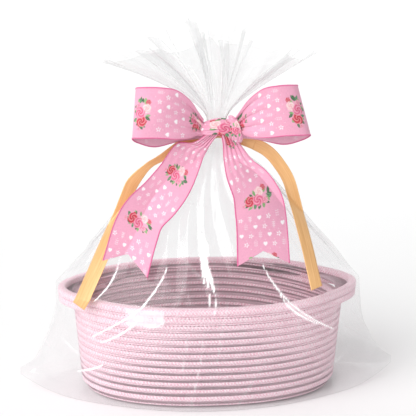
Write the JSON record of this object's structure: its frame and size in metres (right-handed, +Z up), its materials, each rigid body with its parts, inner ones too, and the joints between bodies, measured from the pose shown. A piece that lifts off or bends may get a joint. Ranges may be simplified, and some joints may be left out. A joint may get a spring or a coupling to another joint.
{
  "type": "gift basket",
  "caption": "Oval coiled-rope basket with side handles in a clear gathered film bag, tied with a satin ribbon and a printed wired bow.",
  "frame": {"origin": "on the floor under the middle of the bag", "axes": "+Z up, X along the basket's long side, the bow faces -Y"},
  "size_m": [0.402, 0.202, 0.3817],
  "materials": {
    "rope": "matt stitched cotton rope, heathered pink",
    "film": "clear glossy film, creased",
    "satin_ribbon": "gold satin",
    "printed_ribbon": "pink linen weave printed with roses, wired edges"
  },
  "bodies": {
    "wrapped_basket": {"basket_base": "rope", "basket_wall": "rope", "handle_left": "rope", "handle_right": "rope", "film_floor": "film", "film_front": "film", "film_back": "film", "film_tent_front": "film", "film_tent_back": "film", "film_neck": "film", "film_ruffle": "film", "gold_wrap": "satin_ribbon", "gold_knot": "satin_ribbon", "bow_knot": "printed_ribbon"},
    "loop_left": {"bow_loop_left": "printed_ribbon"},
    "loop_right": {"bow_loop_right": "printed_ribbon"},
    "print_tail_left": {"bow_tail_left": "printed_ribbon"},
    "print_tail_right": {"bow_tail_right": "printed_ribbon"},
    "satin_tail_left": {"gold_tail_left": "satin_ribbon"},
    "satin_tail_right": {"gold_tail_right": "satin_ribbon"}
  },
  "joints": [
    {"name": "print_tail_left_lift", "type": "hinge", "parent": "wrapped_basket", "child": "print_tail_left", "pos_m": [-0.0175, -0.025, 0.2586], "axis": [-1, 0, 0], "range_deg": [0, 45]},
    {"name": "print_tail_right_lift", "type": "hinge", "parent": "wrapped_basket", "child": "print_tail_right", "pos_m": [0.0268, -0.025, 0.2586], "axis": [-1, 0, 0], "range_deg": [0, 45]},
    {"name": "satin_tail_left_swing", "type": "hinge", "parent": "wrapped_basket", "child": "satin_tail_left", "pos_m": [-0.033, -0.0152, 0.2587], "axis": [0, 1, 0], "range_deg": [0, 25]},
    {"name": "satin_tail_right_swing", "type": "hinge", "parent": "wrapped_basket", "child": "satin_tail_right", "pos_m": [0.049, -0.0152, 0.2607], "axis": [0, -1, 0], "range_deg": [0, 25]},
    {"name": "loop_left_fluff", "type": "hinge", "parent": "wrapped_basket", "child": "loop_left", "pos_m": [-0.007, -0.0219, 0.2786], "axis": [0, 0, 1], "range_deg": [0, 20]},
    {"name": "loop_right_fluff", "type": "hinge", "parent": "wrapped_basket", "child": "loop_right", "pos_m": [0.025, -0.0219, 0.2786], "axis": [0, 0, -1], "range_deg": [0, 20]}
  ]
}
